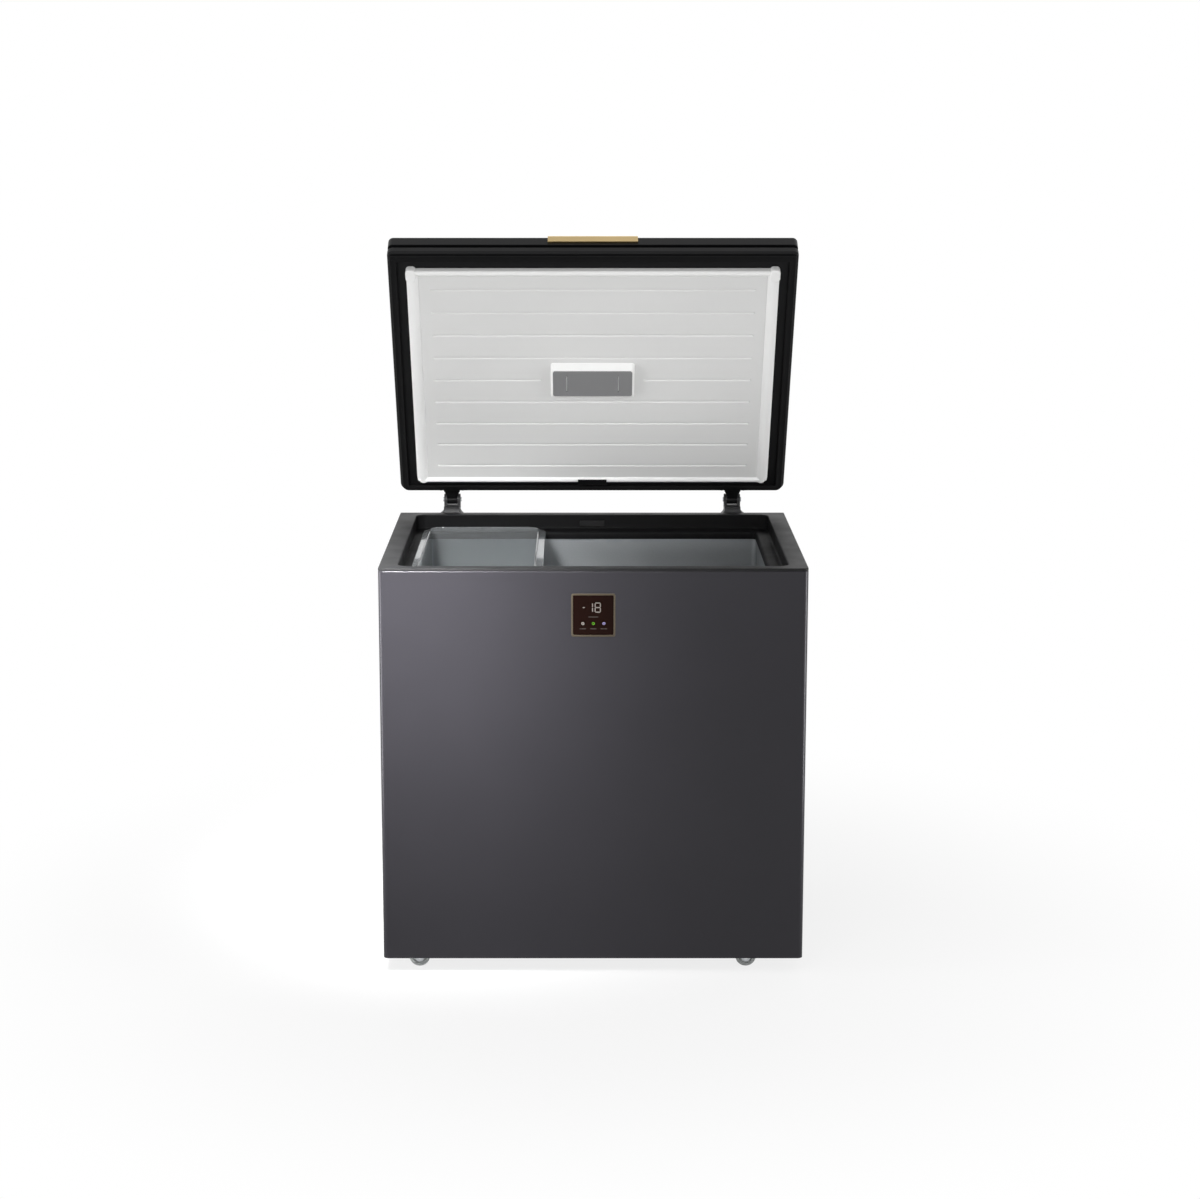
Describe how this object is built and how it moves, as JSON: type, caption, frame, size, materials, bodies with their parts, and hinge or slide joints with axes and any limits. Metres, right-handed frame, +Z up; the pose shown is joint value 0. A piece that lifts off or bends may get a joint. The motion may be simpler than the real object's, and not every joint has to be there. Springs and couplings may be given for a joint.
{
  "type": "chest freezer",
  "caption": "Chest freezer with dark metallic cabinet, hinged insulated lid, front touch display, clear hanging basket and swivel casters.",
  "frame": {"origin": "on the floor, under the middle of the cabinet", "axes": "+X to the right seen from the front, +Y to the back, +Z up"},
  "size_m": [0.81, 0.6623, 1.3975],
  "materials": {
    "shell_paint": "satin metallic dark grey",
    "galvanised": "zinc-coated sheet",
    "rim_plastic": "dark grey moulded plastic",
    "liner_sheet": "embossed sheet",
    "foam": "rigid insulation foam",
    "copper": "drawn copper tube",
    "steel_tube": "bundy tube",
    "aluminium_tube": "drawn tube",
    "compressor_paint": "black enamel",
    "rubber": "black rubber",
    "zinc": "zinc-plated steel",
    "black_plastic": "black moulded plastic",
    "cable_sheath": "grey sheath",
    "lid_paint": "black painted sheet",
    "white_plastic": "white vacuum-formed plastic",
    "lamp_grey": "grey lens",
    "gold": "brushed champagne gold",
    "display_glass": "dark touch glass",
    "board_green": "circuit board",
    "clear_plastic": "clear moulded plastic",
    "fork_steel": "zinc-plated pressed steel",
    "axle_steel": "bright steel",
    "wheel_grey": "light grey nylon"
  },
  "bodies": {
    "cabinet": {"outer_shell": "shell_paint", "back_panel": "galvanised", "base_pan": "galvanised", "top_frame": "rim_plastic", "inner_liner": "liner_sheet", "cabinet_foam": "foam", "bay_partition": "galvanised", "evaporator_coil": "aluminium_tube", "condenser_coil": "steel_tube", "compressor": "compressor_paint", "compressor_grommets": "rubber", "compressor_bolts": "zinc", "terminal_cover": "black_plastic", "filter_drier": "copper", "capillary_tube": "copper", "suction_pipe": "copper", "discharge_pipe": "copper", "control_box": "black_plastic", "display_cable": "cable_sheath", "rear_grille": "galvanised", "cord_gland": "rubber", "back_screws": "zinc", "drain_tube": "white_plastic", "display_housing": "black_plastic", "display_board": "board_green", "display_bezel": "gold", "display_glass": "display_glass", "hinge_base_left": "rim_plastic", "hinge_base_right": "rim_plastic", "hinge_pins": "zinc", "rear_rim_pad": "rim_plastic", "caster_plates": "galvanised", "caster_screws": "zinc"},
    "lid": {"lid_cover": "lid_paint", "lid_frame": "black_plastic", "lid_foam": "foam", "lid_liner": "white_plastic", "lid_gasket": "rubber", "handle_bar": "gold", "handle_cup": "black_plastic", "lamp_housing": "white_plastic", "lamp_cover": "lamp_grey", "lid_rear_tab": "black_plastic", "hinge_arm_left": "black_plastic", "hinge_arm_right": "black_plastic", "arm_screws": "zinc"},
    "basket": {"hanging_basket": "clear_plastic"},
    "drain_plug": {"drain_plug": "rubber"},
    "caster_front_left": {"caster_fork_front_left": "fork_steel", "caster_axle_front_left": "axle_steel"},
    "wheel_front_left": {"caster_wheel_front_left": "wheel_grey"},
    "caster_front_right": {"caster_fork_front_right": "fork_steel", "caster_axle_front_right": "axle_steel"},
    "wheel_front_right": {"caster_wheel_front_right": "wheel_grey"},
    "caster_rear_left": {"caster_fork_rear_left": "fork_steel", "caster_axle_rear_left": "axle_steel"},
    "wheel_rear_left": {"caster_wheel_rear_left": "wheel_grey"},
    "caster_rear_right": {"caster_fork_rear_right": "fork_steel", "caster_axle_rear_right": "axle_steel"},
    "wheel_rear_right": {"caster_wheel_rear_right": "wheel_grey"}
  },
  "joints": [
    {"name": "lid_hinge", "type": "hinge", "parent": "cabinet", "child": "lid", "pos_m": [0, 0.341, 0.822], "axis": [-1, 0, 0], "range_deg": [-60, 22]},
    {"name": "basket_slide", "type": "slide", "parent": "cabinet", "child": "basket", "axis": [1, 0, 0], "range_m": [0, 0.435]},
    {"name": "drain_plug_pull", "type": "slide", "parent": "cabinet", "child": "drain_plug", "axis": [0, 0, 1], "range_m": [0, 0.03]},
    {"name": "swivel_front_left", "type": "hinge", "parent": "cabinet", "child": "caster_front_left", "pos_m": [-0.318, -0.25, 0.05], "axis": [0, 0, 1], "continuous": true},
    {"name": "spin_front_left", "type": "hinge", "parent": "caster_front_left", "child": "wheel_front_left", "pos_m": [-0.338, -0.25, 0.02], "axis": [0, 1, 0], "continuous": true},
    {"name": "swivel_front_right", "type": "hinge", "parent": "cabinet", "child": "caster_front_right", "pos_m": [0.318, -0.25, 0.05], "axis": [0, 0, 1], "continuous": true},
    {"name": "spin_front_right", "type": "hinge", "parent": "caster_front_right", "child": "wheel_front_right", "pos_m": [0.298, -0.25, 0.02], "axis": [0, 1, 0], "continuous": true},
    {"name": "swivel_rear_left", "type": "hinge", "parent": "cabinet", "child": "caster_rear_left", "pos_m": [-0.318, 0.25, 0.05], "axis": [0, 0, 1], "continuous": true},
    {"name": "spin_rear_left", "type": "hinge", "parent": "caster_rear_left", "child": "wheel_rear_left", "pos_m": [-0.338, 0.25, 0.02], "axis": [0, 1, 0], "continuous": true},
    {"name": "swivel_rear_right", "type": "hinge", "parent": "cabinet", "child": "caster_rear_right", "pos_m": [0.318, 0.25, 0.05], "axis": [0, 0, 1], "continuous": true},
    {"name": "spin_rear_right", "type": "hinge", "parent": "caster_rear_right", "child": "wheel_rear_right", "pos_m": [0.298, 0.25, 0.02], "axis": [0, 1, 0], "continuous": true}
  ]
}
